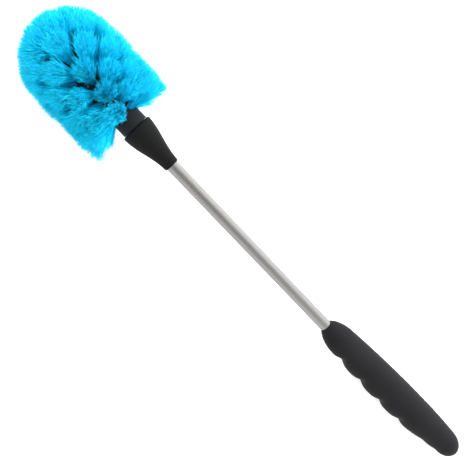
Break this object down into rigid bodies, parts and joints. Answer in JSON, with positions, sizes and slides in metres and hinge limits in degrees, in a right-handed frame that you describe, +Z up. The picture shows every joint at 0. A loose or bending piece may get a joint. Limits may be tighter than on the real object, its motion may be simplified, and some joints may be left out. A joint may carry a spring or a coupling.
{
  "type": "wheel brush",
  "caption": "Wheel cleaning brush: a round head of soft bristles with a domed end, on a slim metal tube with a tapered collar and a soft grip with finger grooves.",
  "frame": {"origin": "on the flat surface that the brush lies on, under the middle of its box", "axes": "+X along the brush towards its head, +Z up, +Y towards the side with the finger grooves; the brush's own axis rises 4.3 degrees towards the head"},
  "size_m": [0.4576, 0.073, 0.0767],
  "materials": {
    "core": "moulded polypropylene, fine satin",
    "bristles": "soft crimped bristle with split tips",
    "wire": "drawn wire",
    "collar": "moulded soft plastic, matte",
    "tube": "satin anodised",
    "hard_plastic": "moulded polypropylene",
    "grip": "moulded soft rubber, matte"
  },
  "bodies": {
    "root": {"brush_core": "core", "tuft_ring_1": "bristles", "tuft_ring_2": "bristles", "tuft_ring_3": "bristles", "tuft_ring_4": "bristles", "tuft_ring_5": "bristles", "tuft_ring_6": "bristles", "tuft_ring_7": "bristles", "dome_ring_1": "bristles", "dome_ring_2": "bristles", "tip_tuft": "bristles", "tuft_anchors": "wire", "collar": "collar", "cross_pin": "wire", "tube": "tube", "tube_plug": "hard_plastic", "grip_core": "hard_plastic", "grip": "grip"}
  },
  "joints": []
}
